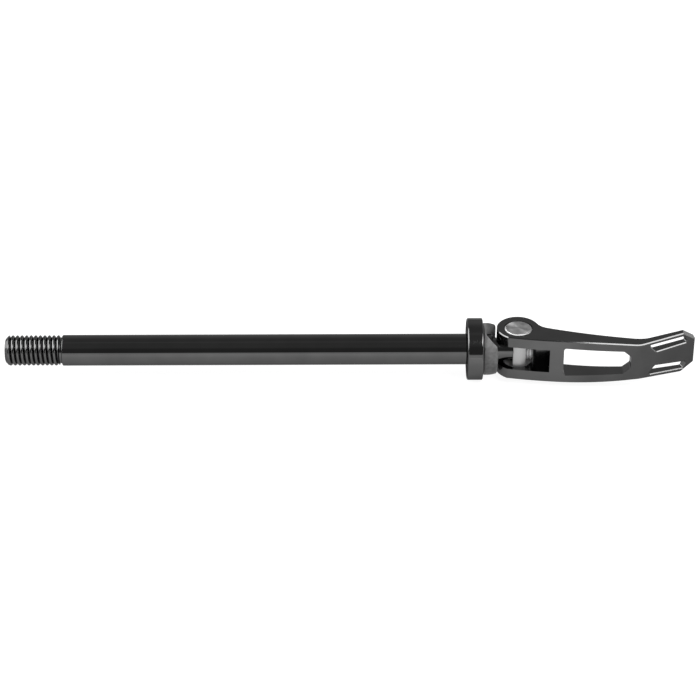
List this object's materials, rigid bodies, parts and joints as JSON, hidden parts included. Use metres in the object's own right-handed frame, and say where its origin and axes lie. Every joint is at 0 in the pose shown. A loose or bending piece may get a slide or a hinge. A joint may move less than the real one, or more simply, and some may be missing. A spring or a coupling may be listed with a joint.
{
  "type": "bicycle thru axle",
  "caption": "Black bicycle thru axle with a threaded end, a thick clamp ring, a grooved grey cam saddle and a forked, pierced cam lever that turns on a bright steel barrel.",
  "frame": {"origin": "centre of the clamp ring's face that bears on the frame, on the axle's own line", "axes": "+X along the axle from its thread towards the lever, +Z along the barrel that the lever turns on, -Y out of the lever's crowned face"},
  "size_m": [0.2644, 0.0239, 0.0238],
  "materials": {
    "black_anodised_aluminium": "satin",
    "blackened_steel": "satin",
    "turned_steel": "brushed",
    "grey_nylon": "matte",
    "black_acetal": "matte"
  },
  "bodies": {
    "axle": {"axle_tube": "black_anodised_aluminium", "head_stud": "blackened_steel", "barrel_nut": "turned_steel"},
    "lever": {"cam_lever": "black_anodised_aluminium"},
    "saddle": {"cam_saddle": "grey_nylon", "slip_washer": "black_acetal"},
    "flange": {"clamp_flange": "black_anodised_aluminium"}
  },
  "joints": [
    {"name": "lever_pivot", "type": "hinge", "parent": "axle", "child": "lever", "pos_m": [0.01955, 0, 0], "axis": [0, 0, 1], "range_deg": [-60, 90]},
    {"name": "saddle_slide", "type": "slide", "parent": "axle", "child": "saddle", "axis": [1, 0, 0], "range_m": [0, 0.003]},
    {"name": "flange_spin", "type": "hinge", "parent": "saddle", "child": "flange", "pos_m": [0.003, 0, 0], "axis": [1, 0, 0], "continuous": true}
  ]
}
